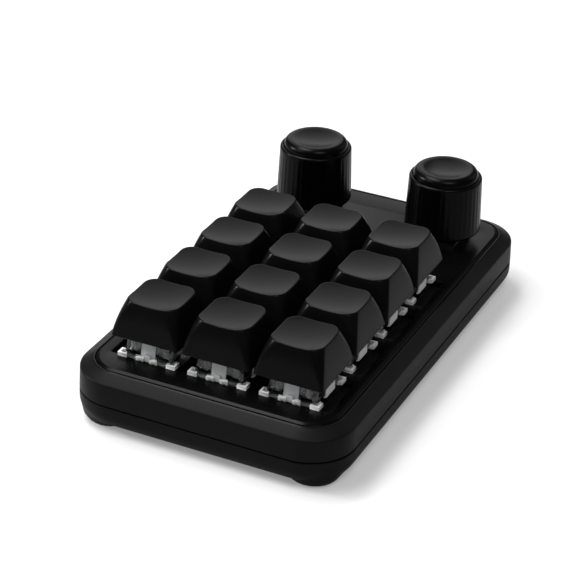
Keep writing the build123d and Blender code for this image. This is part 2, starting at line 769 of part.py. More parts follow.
for side, (x, y) in knob_places.items():
    with BuildPart() as push_slider:
        with Locations((x, y, board_top)):
            add(push_shape.part)
    save(push_slider.part, f"{side}_push_slider")
    with BuildPart() as shaft:
        with Locations((x, y, board_top)):
            add(shaft_shape.part)
    save(shaft.part, f"{side}_encoder_shaft")
    with BuildPart() as knob:
        with Locations((x, y, plate_top)):
            add(knob_shape.part)
    save(knob.part, f"{side}_knob")
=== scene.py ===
# Looks of a black desk keypad: keycaps on clear-topped switches, fluted knobs, a bevelled case.
import math

import bmesh
import bpy
from mathutils import Matrix, Vector


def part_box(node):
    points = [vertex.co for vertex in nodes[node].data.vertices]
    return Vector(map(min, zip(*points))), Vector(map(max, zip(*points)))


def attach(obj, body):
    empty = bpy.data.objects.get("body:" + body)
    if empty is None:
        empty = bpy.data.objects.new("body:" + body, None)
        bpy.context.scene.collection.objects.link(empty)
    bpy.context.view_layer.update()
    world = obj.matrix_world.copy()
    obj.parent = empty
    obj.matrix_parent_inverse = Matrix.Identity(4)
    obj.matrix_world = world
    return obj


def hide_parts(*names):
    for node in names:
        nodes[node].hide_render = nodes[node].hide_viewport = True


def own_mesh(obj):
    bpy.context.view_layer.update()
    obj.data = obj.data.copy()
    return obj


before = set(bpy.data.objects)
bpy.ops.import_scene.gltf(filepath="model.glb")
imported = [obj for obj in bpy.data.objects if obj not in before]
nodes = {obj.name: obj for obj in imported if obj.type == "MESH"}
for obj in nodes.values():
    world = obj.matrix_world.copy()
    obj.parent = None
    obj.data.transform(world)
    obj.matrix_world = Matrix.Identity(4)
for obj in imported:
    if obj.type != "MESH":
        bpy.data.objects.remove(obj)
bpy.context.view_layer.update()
mm = 0.001
keyRows, keyColumns = 4, 3
keyNames = [f"r{r + 1}_c{c + 1}" for r in range(keyRows) for c in range(keyColumns)]
print("frame loaded:", len(nodes), "nodes")


# Small helpers for colours, nodes and meshes

def linear(code):
    parts = [int(code[n:n + 2], 16) / 255 for n in (1, 3, 5)]  # sRGB hex such as #1a1a1c
    return (*[c / 12.92 if c <= 0.04045 else ((c + 0.055) / 1.055) ** 2.4 for c in parts], 1.0)


def addNode(tree, kind, inputs=None, **settings):
    node = tree.nodes.new(kind)
    for name, value in settings.items():
        setattr(node, name, value)
    for socket, value in (inputs or {}).items():
        if isinstance(value, bpy.types.NodeSocket):
            tree.links.new(value, node.inputs[socket])
        else:
            node.inputs[socket].default_value = value
    return node


def centreOf(node):
    low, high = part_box(node)
    return (low + high) / 2


def footOf(node):
    # the middle of the node's underside
    low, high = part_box(node)
    return Vector(((low.x + high.x) / 2, (low.y + high.y) / 2, low.z))


def linkObject(name, data):
    made = bpy.data.objects.new(name, data)
    bpy.context.scene.collection.objects.link(made)
    return made


def addPiece(name, mesh, material, body, replaced):
    piece = linkObject(name, mesh)
    if not mesh.materials:
        mesh.materials.append(material)
    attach(piece, body)
    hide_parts(replaced)
    return piece


def shadeMesh(mesh, sharp=35):
    mesh.shade_smooth()
    mesh.set_sharp_from_angle(angle=math.radians(sharp))
    return mesh


def finishMesh(bm, name, sharp=35):
    bmesh.ops.recalc_face_normals(bm, faces=bm.faces)
    mesh = bpy.data.meshes.new(name)
    bm.to_mesh(mesh)
    bm.free()
    mesh.transform(Matrix.Scale(mm, 4))  # shapes are drawn in millimetres
    return shadeMesh(mesh, sharp)


def evaluatedMesh(item):
    bpy.context.view_layer.update()
    return bpy.data.meshes.new_from_object(item.evaluated_get(bpy.context.evaluated_depsgraph_get()))


def carveMesh(mesh, *tools, tangled=False, weld=0.0):
    # tools are pairs of a mesh and what it does; the parts of a tangled one lie in each other
    blank = linkObject("blank", mesh)
    helpers = []
    for tool, operation in tools:
        helpers.append(linkObject(tool.name, tool))
        carve = blank.modifiers.new(tool.name, "BOOLEAN")
        carve.object = helpers[-1]
        carve.operation = operation
        carve.solver = "EXACT"
        carve.use_self = tangled
    if weld:
        joined = blank.modifiers.new("joined", "WELD")
        joined.merge_threshold = weld * mm
    made = evaluatedMesh(blank)
    for item in (blank, *helpers):
        bpy.data.objects.remove(item)
    return shadeMesh(made)


def roundedRect(halfX, halfY, radius, steps):
    points = []
    for quarter, (sx, sy) in enumerate(((1, 1), (-1, 1), (-1, -1), (1, -1))):
        for n in range(steps + 1):
            turn = math.pi / 2 * (quarter + n / steps)
            points.append((sx * (halfX - radius) + radius * math.cos(turn),
                           sy * (halfY - radius) + radius * math.sin(turn)))
    return points


def filleted(points, radii, steps=5):
    line = [points[0]]
    for before, corner, after, radius in zip(points, points[1:], points[2:], radii):
        corner = Vector(corner)
        a = (Vector(before) - corner).normalized()
        b = (Vector(after) - corner).normalized()
        half = a.angle(b) / 2
        if radius < 1e-6:
            line.append(tuple(corner))
            continue
        reach = radius / math.tan(half)
        middle = corner + (a + b).normalized() * (radius / math.sin(half))
        start = corner + a * reach - middle
        sweep = math.pi - 2 * half
        sign = 1 if a.x * b.y - a.y * b.x < 0 else -1
        for n in range(steps + 1):
            turn = sign * sweep * n / steps
            line.append((middle.x + start.x * math.cos(turn) - start.y * math.sin(turn),
                         middle.y + start.x * math.sin(turn) + start.y * math.cos(turn)))
    line.append(points[-1])
    return line


def bridge(bm, lower, upper):
    for n in range(len(lower)):
        m = (n + 1) % len(lower)
        bm.faces.new((lower[n], lower[m], upper[m], upper[n]))


def addRings(bm, rings):
    loops = [[bm.verts.new(p) for p in ring] for ring in rings]
    for lower, upper in zip(loops, loops[1:]):
        bridge(bm, lower, upper)
    return loops


def sweepOutline(bm, outline, profile):
    # profile holds (inset, height) pairs, outline(inset) gives the points of one ring
    return addRings(bm, [[(x, y, z) for x, y in outline(inset)] for inset, z in profile])


def closeToTip(bm, loop, point):
    tip = bm.verts.new(point)
    for n in range(len(loop)):
        bm.faces.new((loop[n], loop[(n + 1) % len(loop)], tip))


def fillBetween(bm, loops):
    edges = [bm.edges.get((loop[n - 1], loop[n])) for loop in loops for n in range(len(loop))]
    bmesh.ops.triangle_fill(bm, edges=edges, use_beauty=True)


def insetLoop(loop, distance, sharpest=0.3):
    # sharpest keeps a point from running away at a sharp corner
    count, moved = len(loop), []
    for n in range(count):
        a, b, c = (Vector(loop[(n + k) % count]) for k in (-1, 0, 1))
        p, q = (b - a).normalized(), (c - b).normalized()
        normal = Vector((-p.y - q.y, p.x + q.x)).normalized()
        moved.append(tuple(b + normal * distance / max(sharpest, normal.dot(Vector((-p.y, p.x))))))
    return moved


def addSlab(bm, outer, holes, low, high, edge, lowEdge=0.0, steps=3, crown=None):
    # a flat piece with rounded rims: outer runs anticlockwise, holes clockwise, so an inset goes into the solid
    caps = {low: [], high: []}
    for loop in [outer, *holes]:
        profile = []
        for level, size, sign in ((low, lowEdge, 1), (high, edge, -1)):
            arc = [(size * (1 - math.sin(t)), level + sign * size * (1 - math.cos(t)))
                   for t in (math.pi / 2 * n / steps for n in range(steps + 1))] if size else [(0, level)]
            profile += arc if sign > 0 else arc[::-1]
        if crown and loop is outer:
            profile = crown
        rings = [[(x, y, z) for x, y in insetLoop(loop, d)] for d, z in profile]
        made = addRings(bm, rings)
        caps[low].append(made[0])
        caps[high].append(made[-1])
    for loops in caps.values():
        fillBetween(bm, loops)


# Materials: each is named for what the real piece is made of

def newMaterial(name):
    material = bpy.data.materials.new(name)
    material.use_nodes = True
    tree = material.node_tree
    tree.nodes.clear()
    shader = addNode(tree, "ShaderNodeBsdfPrincipled")
    addNode(tree, "ShaderNodeOutputMaterial", {"Surface": shader.outputs["BSDF"]})
    return material, tree, shader


noiseSpan = (0.3, 0.7)  # most of a noise lies between these


def finishSurface(tree, shader, look):
    # slow drift of the tone, fine grain in the gloss and in the relief
    place = addNode(tree, "ShaderNodeTexCoord").outputs["Object"]
    flow = addNode(tree, "ShaderNodeTexNoise", {"Vector": place, "Scale": 1 / (look["flow"] * mm), "Detail": 3.0})
    grain = addNode(tree, "ShaderNodeTexNoise", {"Vector": place, "Scale": 1 / (look["grain"] * mm), "Detail": 2.0})
    tone = addNode(tree, "ShaderNodeValToRGB", {"Fac": flow.outputs["Fac"]})
    for stop, position, code in zip(tone.color_ramp.elements, noiseSpan, look["colours"]):
        stop.position = position
        stop.color = linear(code)
    colour = tone.outputs["Color"]
    if "paintedShade" in look:
        # painted shade: the colour darkens below a height, standing in for the shade where the piece sinks into the
        # plate
        start, full, share = look["paintedShade"]
        height = addNode(tree, "ShaderNodeSeparateXYZ", {"Vector": place}).outputs["Z"]
        left = addNode(tree, "ShaderNodeMapRange", {"Value": height, "From Min": full * mm, "From Max": start * mm,
                                                   "To Min": share, "To Max": 1.0})
        colour = addNode(tree, "ShaderNodeVectorMath", {0: colour, "Scale": left.outputs["Result"]},
                         operation="SCALE").outputs["Vector"]
    tree.links.new(colour, shader.inputs["Base Color"])
    low, high = look["roughness"]
    gloss = addNode(tree, "ShaderNodeMapRange", {"Value": grain.outputs["Fac"], "From Min": noiseSpan[0],
                                                "From Max": noiseSpan[1], "To Min": low, "To Max": high})
    rough = gloss.outputs["Result"]
    if "burnish" in look:
        # worn edges shine more than the faces: they lie past a height, so height finds them
        start, full, polish = look["burnish"]
        height = addNode(tree, "ShaderNodeSeparateXYZ", {"Vector": place}).outputs["Z"]
        rough = addNode(tree, "ShaderNodeMapRange", {"Value": height, "From Min": start * mm, "From Max": full * mm,
                                                    "To Min": rough, "To Max": polish}).outputs["Result"]
    tree.links.new(rough, shader.inputs["Roughness"])
    relief = addNode(tree, "ShaderNodeBump", {"Height": grain.outputs["Fac"], "Strength": look["relief"],
                                             "Distance": look["depth"] * mm})
    tree.links.new(relief.outputs["Normal"], shader.inputs["Normal"])


def mouldedPlastic(name, look):
    material, tree, shader = newMaterial(name)
    finishSurface(tree, shader, look)
    shader.inputs["IOR"].default_value = look["ior"]
    shader.inputs["Specular IOR Level"].default_value = look["shine"]
    return material


def plainMetal(name, look):
    material, tree, shader = newMaterial(name)
    finishSurface(tree, shader, look)
    shader.inputs["Metallic"].default_value = 1.0
    return material


# Looks: grain, flow and depth are in millimetres; burnish and the painted shade each hold two heights and the value
# past them

# Spark-eroded ABS of the case: even, satin, hardly any grain to the eye
caseLook = {"colours": ("#0f0f10", "#121213"), "roughness": (0.36, 0.44), "ior": 1.46, "shine": 0.056,
            "grain": 0.35, "flow": 30, "relief": 0.12, "depth": 0.02, "burnish": (15.5, 15.62, 0.14)}
# Smooth ABS of the plate: satin with soft mirror images of the caps
plateLook = {"colours": ("#050505", "#070707"), "roughness": (0.25, 0.31), "ior": 1.46, "shine": 0.07,
             "grain": 0.3, "flow": 24, "relief": 0.06, "depth": 0.01, "burnish": (15.99, 15.95, 0.18)}
# PBT of the caps: fine matt moulding, a soft sheen along the dish
capLook = {"colours": ("#080808", "#0b0b0b"), "roughness": (0.18, 0.24), "ior": 1.5, "shine": 0.049,
           "grain": 0.25, "flow": 12, "relief": 0.1, "depth": 0.015}
# ABS of the knobs: smoother than the case
knobLook = {"colours": ("#030303", "#040404"), "roughness": (0.22, 0.28), "ior": 1.48, "shine": 0.064,
            "grain": 0.25, "flow": 14, "relief": 0.08, "depth": 0.012}
# White nylon of the switch bodies: a little gloss, faint flow marks, painted shade darkening them where they sink
# into the plate
nylonLook = {"colours": ("#f3f3f1", "#fafaf8"), "roughness": (0.3, 0.4), "ior": 1.53, "shine": 0.5,
             "grain": 0.3, "flow": 3, "relief": 0.05, "depth": 0.01, "paintedShade": (15.97, 15.85, 0.02)}
# Frosted polycarbonate of the light guides: milky, pale grey
guideLook = {"colours": ("#b9bcbe", "#c6c9ca"), "roughness": (0.3, 0.4), "ior": 1.58, "shine": 0.5,
             "grain": 0.2, "flow": 2, "relief": 0.05, "depth": 0.01}
# Acetal of the stems: slippery, waxy, dark
acetalLook = {"colours": ("#1b1b1d", "#222224"), "roughness": (0.25, 0.33), "ior": 1.48, "shine": 0.5,
              "grain": 0.3, "flow": 4, "relief": 0.04, "depth": 0.01}
# Silicone rubber of the feet: dull, slightly dusty
rubberLook = {"colours": ("#151515", "#1b1b1b"), "roughness": (0.7, 0.85), "ior": 1.42, "shine": 0.3,
              "grain": 0.2, "flow": 5, "relief": 0.2, "depth": 0.02}
# Solder mask over glass-fibre board, epoxy of the chip, lens of the lights, phenolic of the encoders
maskLook = {"colours": ("#08120e", "#0b1813"), "roughness": (0.25, 0.35), "ior": 1.5, "shine": 0.5,
            "grain": 0.5, "flow": 6, "relief": 0.1, "depth": 0.02}
epoxyLook = {"colours": ("#121212", "#181818"), "roughness": (0.5, 0.6), "ior": 1.5, "shine": 0.5,
             "grain": 0.1, "flow": 3, "relief": 0.15, "depth": 0.01}
lensLook = {"colours": ("#d9d6c6", "#e4e1d2"), "roughness": (0.2, 0.3), "ior": 1.41, "shine": 0.5,
            "grain": 0.4, "flow": 2, "relief": 0.05, "depth": 0.01}
phenolicLook = {"colours": ("#161413", "#1c1918"), "roughness": (0.4, 0.5), "ior": 1.55, "shine": 0.5,
                "grain": 0.2, "flow": 4, "relief": 0.1, "depth": 0.01}
# Metals: rolled stainless of the socket, die-cast zinc, turned aluminium, spring wire, phosphor bronze, zinc plate
socketLook = {"colours": ("#b5b6b8", "#c4c5c7"), "roughness": (0.22, 0.32),
              "grain": 0.2, "flow": 5, "relief": 0.05, "depth": 0.005}
zincLook = {"colours": ("#56575a", "#626366"), "roughness": (0.35, 0.45),
            "grain": 0.3, "flow": 4, "relief": 0.1, "depth": 0.01}
turnedLook = {"colours": ("#b3b4b6", "#bfc0c2"), "roughness": (0.25, 0.35),
              "grain": 0.15, "flow": 4, "relief": 0.05, "depth": 0.005}
wireLook = {"colours": ("#a9aaac", "#bcbdbf"), "roughness": (0.2, 0.3),
            "grain": 0.1, "flow": 1, "relief": 0.05, "depth": 0.003}
bronzeLook = {"colours": ("#8f8c86", "#a09d97"), "roughness": (0.2, 0.3),
              "grain": 0.15, "flow": 2, "relief": 0.05, "depth": 0.005}
platedLook = {"colours": ("#8d8f92", "#a0a2a5"), "roughness": (0.3, 0.4),
              "grain": 0.15, "flow": 2, "relief": 0.08, "depth": 0.005}

caseAbs = mouldedPlastic("sparkErodedAbs", caseLook)
plateAbs = mouldedPlastic("satinAbs", plateLook)
capPbt = mouldedPlastic("mouldedPbt", capLook)
knobAbs = mouldedPlastic("smoothAbs", knobLook)
whiteNylon = mouldedPlastic("whiteNylon", nylonLook)
guidePc = mouldedPlastic("frostedPolycarbonate", guideLook)
stemAcetal = mouldedPlastic("darkAcetal", acetalLook)
footRubber = mouldedPlastic("siliconeRubber", rubberLook)
boardMask = mouldedPlastic("solderMask", maskLook)
chipEpoxy = mouldedPlastic("mouldedEpoxy", epoxyLook)
lightLens = mouldedPlastic("siliconeLens", lensLook)
phenolic = mouldedPlastic("blackPhenolic", phenolicLook)
socketSteel = plainMetal("rolledStainless", socketLook)
castZinc = plainMetal("dieCastZinc", zincLook)
turnedAlu = plainMetal("turnedAluminium", turnedLook)
springWire = plainMetal("springWire", wireLook)
phosphorBronze = plainMetal("phosphorBronze", bronzeLook)
platedSteel = plainMetal("zincPlatedSteel", platedLook)

# Clear polycarbonate of the switch covers: smoky, with bright edges
coverLook = {"colours": ("#b9bdbf", "#c6cacc"), "roughness": (0.03, 0.06), "ior": 1.45, "shine": 0.5,
             "grain": 0.4, "flow": 2, "relief": 0.04, "depth": 0.01, "clear": 1.0}
clearPc = mouldedPlastic("clearPolycarbonate", coverLook)
clearPc.node_tree.nodes["Principled BSDF"].inputs["Transmission Weight"].default_value = coverLook["clear"]
print("materials made:", len(bpy.data.materials))


# CAD pieces that keep their shape: joined faces, broken edges of the width given here, their own material

keptNodes = {
    "light_guides": (guidePc, 0.08), "switch_contacts": (phosphorBronze, 0.04),
    "rubber_feet": (footRubber, 0.1), "case_screws": (platedSteel, 0.15), "circuit_board": (boardMask, 0.05),
    "key_lights": (lightLens, 0.12), "controller_chip": (chipEpoxy, 0.08), "usb_socket": (socketSteel, 0.06),
    "encoder_bases": (phenolic, 0.1), "encoder_frames": (castZinc, 0.15),
}
for side in ("left", "right"):
    keptNodes[f"{side}_encoder_shaft"] = (turnedAlu, 0.15)
    keptNodes[f"{side}_push_slider"] = (phenolic, 0.1)
for key in keyNames:
    keptNodes[f"stem_{key}"] = (stemAcetal, 0.1)
# weld in millimetres, angles in degrees
dressing = {"weld": 0.001, "flatAngle": 1, "edgeAngle": 40, "edgeSteps": 2}


def dressNode(name, material, edge):
    node = nodes[name]
    node.data.materials.clear()
    node.data.materials.append(material)
    node.data.shade_smooth()
    weld = node.modifiers.new("joinFaces", "WELD")
    weld.merge_threshold = dressing["weld"] * mm
    flat = node.modifiers.new("flatFaces", "DECIMATE")
    flat.decimate_type = "DISSOLVE"
    flat.angle_limit = math.radians(dressing["flatAngle"])
    bevel = node.modifiers.new("brokenEdges", "BEVEL")
    bevel.width = edge * mm
    bevel.segments = dressing["edgeSteps"]
    bevel.limit_method = "ANGLE"
    bevel.angle_limit = math.radians(dressing["edgeAngle"])
    bevel.harden_normals = True


for name, (material, edge) in keptNodes.items():
    dressNode(name, material, edge)
print("kept pieces dressed:", len(keptNodes))


# Case: both halves are one profile swept round the rounded outline, with softened edges

caseShape = {"halfX": 36.25, "halfY": 63.25, "corner": 12.0, "cornerSteps": 20,
             "lowerTop": 7.8, "upperBottom": 8.2, "bevelFoot": 13.9, "rim": 15.72, "draft": 0.16, "bevel": 3.3,
             "pocket": 3.65, "deck": 14.5, "deckFoot": 13.0, "deckEdge": 6.75, "deckHole": 7.1, "holeCorner": 0.3,
             "holeSteps": 3, "wall": 2.2, "bottom": 1.2, "bottomRound": 4.6, "bottomSteps": 14, "floorTop": 3.2,
             "floorEdge": 11.0, "lip": 1.0, "tongue": 0.9, "endStep": 0.4}
edgeRounds = {"seam": 0.25, "bevelFoot": 0.7, "bevelTop": 0.6, "pocket": 0.08, "lip": 0.25, "floor": 2.4,
              "innerSteps": 6}
socketCut = {"halfWidth": 4.77, "halfHeight": 1.93, "flat": 0.01, "steps": 12, "reach": 4.0, "deep": 2.4}


def caseOutline(inset):
    return roundedRect(caseShape["halfX"] - inset, caseShape["halfY"] - inset,
                       caseShape["corner"] - inset, caseShape["cornerSteps"])


def upperOutline(inset):
    # the top edge stands back a little further at the front and the back than at the sides
    step = caseShape["endStep"] * min(1, max(0, inset - caseShape["wall"]))
    return [(x, y - math.copysign(step, y)) for x, y in caseOutline(inset)]


def cutSocketHole(mesh):
    # a stadium prism through the back wall, where the two halves meet
    s = socketCut
    middle, back = centreOf("usb_socket").z / mm, caseShape["halfY"]
    loop = roundedRect(s["halfWidth"], s["halfHeight"], s["halfHeight"] - s["flat"], s["steps"])
    rings = [[(x, y, middle + z) for x, z in loop] for y in (back + s["reach"], back - s["deep"])]
    bm = bmesh.new()
    for ends in addRings(bm, rings):
        bm.faces.new(ends)
    return carveMesh(mesh, (finishMesh(bm, "socketCutter"), "DIFFERENCE"))


c = caseShape
keyPlaces = [centreOf(f"keycap_{key}").xy / mm for key in keyNames]
knobPlaces = [centreOf(f"{side}_knob").xy / mm for side in ("left", "right")]
upperProfile = filleted(
    [(c["deckEdge"], c["deckFoot"]), (c["wall"], c["deckFoot"]), (c["wall"], c["upperBottom"]),
     (0, c["upperBottom"]), (c["draft"], c["bevelFoot"]), (c["bevel"], c["rim"]), (c["pocket"], c["rim"]),
     (c["pocket"], c["deck"]), (c["deckEdge"], c["deck"])],
    [0, 0, edgeRounds["seam"], edgeRounds["bevelFoot"], edgeRounds["bevelTop"], edgeRounds["pocket"], 0])
bm = bmesh.new()
rims = sweepOutline(bm, upperOutline, upperProfile)
holes = []
for x, y in keyPlaces + knobPlaces:
    loop = [(x + a, y + b) for a, b in roundedRect(c["deckHole"], c["deckHole"], c["holeCorner"], c["holeSteps"])]
    holes.append(addRings(bm, [[(a, b, z) for a, b in loop] for z in (c["deckFoot"], c["deck"])]))
for level in (0, -1):
    fillBetween(bm, [rims[level]] + [hole[level] for hole in holes])
addPiece("upperCaseShell", cutSocketHole(finishMesh(bm, "upperCaseShell")), caseAbs, "case",
         "upper_case")

# the underside runs smoothly into four feet, which hold the rubber pads
footShape = {"padRadius": 5.2, "flat": 6.0, "low": 0.3, "slope": 1.625, "edge": 0.5, "blend": 0.9, "flare": 7.0,
             "steep": 10.0, "reach": 15.5, "ringStep": 0.5, "sideStep": 0.6, "sideSteps": 14, "tightest": 0.5}
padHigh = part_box("rubber_feet")[1] / mm
footX, footY = padHigh.x - footShape["padRadius"], padHigh.y - footShape["padRadius"]


def footedOutline(inset):
    # the case outline with more points along its sides where the feet are
    f, steps = footShape, c["cornerSteps"]
    corners = roundedRect(c["halfX"] - inset, c["halfY"] - inset, max(f["tightest"], c["corner"] - inset), steps)
    ring, per = [], steps + 1
    for q in range(4):
        ring += corners[q * per:(q + 1) * per]
        a, b = Vector(corners[(q + 1) * per - 1]), Vector(corners[(q + 1) * per % len(corners)])
        along = (b - a).normalized() * f["sideStep"]
        ring += [tuple(a + along * n) for n in range(1, f["sideSteps"] + 1)]
        ring += [tuple(b - along * n) for n in range(f["sideSteps"], 0, -1)]
    return ring


def footed(x, y, z):
    # the height at a point of the underside: soft joins at the foot's edge and where it leaves the case
    f = footShape
    reach = math.hypot(abs(x) - footX, abs(y) - footY)
    rise = (reach - f["flat"]) * f["slope"] + max(0, reach - f["flare"]) ** 2 * f["steep"]
    foot = f["low"] + max(0, rise) + max(0, 1 - abs(rise) / f["edge"]) ** 2 * f["edge"] / 4
    return min(z, foot) - max(0, 1 - abs(z - foot) / f["blend"]) ** 2 * f["blend"] / 4


underside = [(footShape["reach"] - n * footShape["ringStep"], c["bottom"])
             for n in range(int((footShape["reach"] - c["bottomRound"]) / footShape["ringStep"]))]
outerWall = filleted([(c["bottomRound"], c["bottom"]), (0, c["bottom"]), (0, c["lowerTop"] - c["lip"])],
                     [c["bottomRound"]], c["bottomSteps"])
innerWall = filleted(
    [(0, c["lowerTop"] - c["lip"]), (0, c["lowerTop"]), (c["tongue"], c["lowerTop"]),
     (c["tongue"], c["upperBottom"]), (c["wall"], c["upperBottom"]), (c["wall"], c["floorTop"]),
     (c["floorEdge"], c["floorTop"])],
    [edgeRounds["lip"], 0, 0, 0, edgeRounds["floor"]], edgeRounds["innerSteps"])
bm = bmesh.new()
rings = [[(x, y, footed(x, y, z)) for x, y in footedOutline(inset)] for inset, z in underside + outerWall[1:-1]]
rings += [[(x, y, z) for x, y in footedOutline(inset)] for inset, z in innerWall]
ends = addRings(bm, rings)
bm.faces.new(ends[0])
bm.faces.new(ends[-1])
addPiece("lowerCaseShell", cutSocketHole(finishMesh(bm, "lowerCaseShell")), caseAbs, "case",
         "lower_case")
print("case made")


# Plate: row slots for the switches, square holes for the encoders, a sloped border

plateShape = {"halfX": 32.3, "halfY": 58.9, "corner": 8.05, "cornerSteps": 20, "low": 14.5, "high": 16.0,
              "slotRim": 0.12, "slotHalfX": 29.2, "hole": 7.0, "holeCorner": 0.3, "holeSteps": 3,
              "footEdge": 0.05, "border": (0.55, 0.27), "riser": (0.2, 0.5), "round": 0.12, "roundSteps": 4}
p = plateShape


def holeAt(x, y, halfX, halfY):
    return [(x + a, y + b) for a, b in reversed(roundedRect(halfX, halfY, p["holeCorner"], p["holeSteps"]))]


slots = [holeAt(0, keyPlaces[r * keyColumns].y, p["slotHalfX"], p["hole"]) for r in range(keyRows)]
slots += [holeAt(x, y, p["hole"], p["hole"]) for x, y in knobPlaces]
# the border of the plate rises from the groove, then a short riser and a round lead to the flat top
(borderWidth, borderSlope), (riserWidth, riserSlope) = p["border"], p["riser"]
turn = riserSlope * p["round"] / 2
foot = p["high"] - turn - riserWidth * riserSlope - borderWidth * borderSlope
crown = [(0, p["low"]), (0, foot - p["footEdge"]), (p["footEdge"], foot),
         (borderWidth, foot + borderWidth * borderSlope)]
crown += [(borderWidth + riserWidth + p["round"] * s, p["high"] - turn * (1 - s) ** 2)
          for s in (n / p["roundSteps"] for n in range(p["roundSteps"] + 1))]
bm = bmesh.new()
addSlab(bm, roundedRect(p["halfX"], p["halfY"], p["corner"], p["cornerSteps"]), slots, p["low"], p["high"],
        p["slotRim"], crown=crown)
addPiece("topPlateSheet", finishMesh(bm, "topPlateSheet"), plateAbs, "case", "top_plate")
print("plate made")


# Lower housings of the switches: the solids, opened under the side arms so that these stand clear of the plate

# gaps: from x, to x, from y, to y, low and high, the same on every side of a switch
housingShape = {"gaps": ((5.4, 8.2, -5.3, 5.3, 12.5, 16.65),  # under the side arms
                         (6.1, 8.3, 2.75, 4.9, 16.2, 17.3),  # beside the side arms
                         (5.9, 7.25, 5.9, 7.25, 15.5, 17.2)),  # inside the corner arms
                "weld": 0.002}


def drawHousings():
    h = housingShape
    bm = bmesh.new()
    bm.from_mesh(nodes["switch_bases"].data)
    bmesh.ops.remove_doubles(bm, verts=bm.verts, dist=dressing["weld"] * mm)
    housings = bpy.data.meshes.new("housingBlank")
    bm.to_mesh(housings)
    bm.free()
    bm = bmesh.new()
    corners = ((-1, -1), (1, -1), (-1, 1), (1, 1))
    for x, y in keyPlaces:
        for x0, x1, y0, y1, low, high in h["gaps"]:
            size = Matrix.Diagonal((x1 - x0, y1 - y0, high - low, 1))
            # a gap that runs across the middle has no copy at the back
            for right, back in corners if y0 > 0 else corners[:2]:
                middle = (x + right * (x0 + x1) / 2, y + back * (y0 + y1) / 2, (low + high) / 2)
                bmesh.ops.create_cube(bm, size=1, matrix=Matrix.Translation(middle) @ size)
    return carveMesh(housings, (finishMesh(bm, "gapCutter"), "DIFFERENCE"), tangled=True, weld=h["weld"])


addPiece("switchHousingSet", drawHousings(), whiteNylon, "case", "switch_bases")
print("switch housings made")


# Node trees: each ends in real faces with their material, and gives a plain mesh

def newTree(name, **kinds):
    tree = bpy.data.node_groups.new(name, "GeometryNodeTree")
    for socket, kind in {"Geometry": "Geometry", **kinds, "finish": "Material"}.items():
        tree.interface.new_socket(socket, in_out="INPUT", socket_type=f"NodeSocket{kind}")
    tree.interface.new_socket("Geometry", in_out="OUTPUT", socket_type="NodeSocketGeometry")
    return tree, addNode(tree, "NodeGroupInput").outputs


def endTree(tree, given, geometry):
    real = addNode(tree, "GeometryNodeRealizeInstances", {"Geometry": geometry})
    painted = addNode(tree, "GeometryNodeSetMaterial", {"Geometry": real.outputs["Geometry"],
                                                       "Material": given["finish"]})
    addNode(tree, "NodeGroupOutput", {0: painted.outputs["Geometry"]})
    return tree


def placingTree():
    # sets copies of a drawn piece on a grid of places
    tree, given = newTree("setOnGrid", columns="Int", rows="Int", pitchX="Float", pitchY="Float", middle="Vector")
    sizes = []
    for count, pitch in (("columns", "pitchX"), ("rows", "pitchY")):
        steps = addNode(tree, "ShaderNodeMath", {0: given[count], 1: 1.0}, operation="SUBTRACT")
        sizes.append(addNode(tree, "ShaderNodeMath", {0: steps.outputs[0], 1: given[pitch]}, operation="MULTIPLY"))
    grid = addNode(tree, "GeometryNodeMeshGrid", {"Vertices X": given["columns"], "Vertices Y": given["rows"],
                                                 "Size X": sizes[0].outputs[0], "Size Y": sizes[1].outputs[0]})
    placed = addNode(tree, "GeometryNodeTransform", {"Geometry": grid.outputs["Mesh"],
                                                    "Translation": given["middle"]})
    copies = addNode(tree, "GeometryNodeInstanceOnPoints", {"Points": placed.outputs["Geometry"],
                                                           "Instance": given["Geometry"]})
    return endTree(tree, given, copies.outputs["Instances"])


def meshFromTree(name, mesh, tree, values):
    carrier = linkObject(name, mesh)
    modifier = carrier.modifiers.new("nodes", "NODES")
    modifier.node_group = tree
    for item in tree.interface.items_tree:
        if item.item_type == "SOCKET" and item.in_out == "INPUT" and item.name in values:
            modifier[item.identifier] = values[item.name]
    made = evaluatedMesh(carrier)
    carrier.modifiers.remove(modifier)
    bpy.data.objects.remove(carrier)
    made.name = name
    return made


setOnGrid = placingTree()
keyPitch = centreOf("keycap_r1_c2").x - centreOf("keycap_r1_c1").x
gridMiddle = (centreOf("keycap_r1_c1") + centreOf(f"keycap_r{keyRows}_c{keyColumns}")) / 2


# Keycap: rounded-square rings up the convex wall, over the rim, into the dish and up the hollow underneath

# sections: height, half width, corner; wall, rim and dish shares say where the rings lie
capShape = {"sections": ((0.0, 9.1, 0.8), (4.8, 8.17, 1.9), (9.3, 6.7, 3.4)), "dishRadius": 42.0, "dishLow": 8.35,
            "rim": 0.28, "cornerSteps": 12, "sideSteps": 8, "lip": 0.12, "hollow": (7.8, 5.95), "hollowHigh": 6.9,
            "hollowCorner": 0.6, "socket": 2.75, "socketSides": 32, "socketLow": 0.6, "socketEdge": 0.1,
            "crossSpan": 2.05, "crossArm": 0.65, "edgeTries": 6,
            "wallShares": (0, 0.12, 0.25, 0.4, 0.55, 0.7, 0.85, 1), "rimShares": (0.2, 0.4, 0.6, 0.8, 1.0),
            "dishShares": (0.97, 0.88, 0.75, 0.6, 0.45, 0.3, 0.15)}


def throughSections(z, pick):
    # the parabola through the three sections
    (z0, z1, z2) = (s[0] for s in capShape["sections"])
    (a, b, d) = (s[pick] for s in capShape["sections"])
    return (a * (z - z1) * (z - z2) / ((z0 - z1) * (z0 - z2)) + b * (z - z0) * (z - z2) / ((z1 - z0) * (z1 - z2))
            + d * (z - z0) * (z - z1) / ((z2 - z0) * (z2 - z1)))


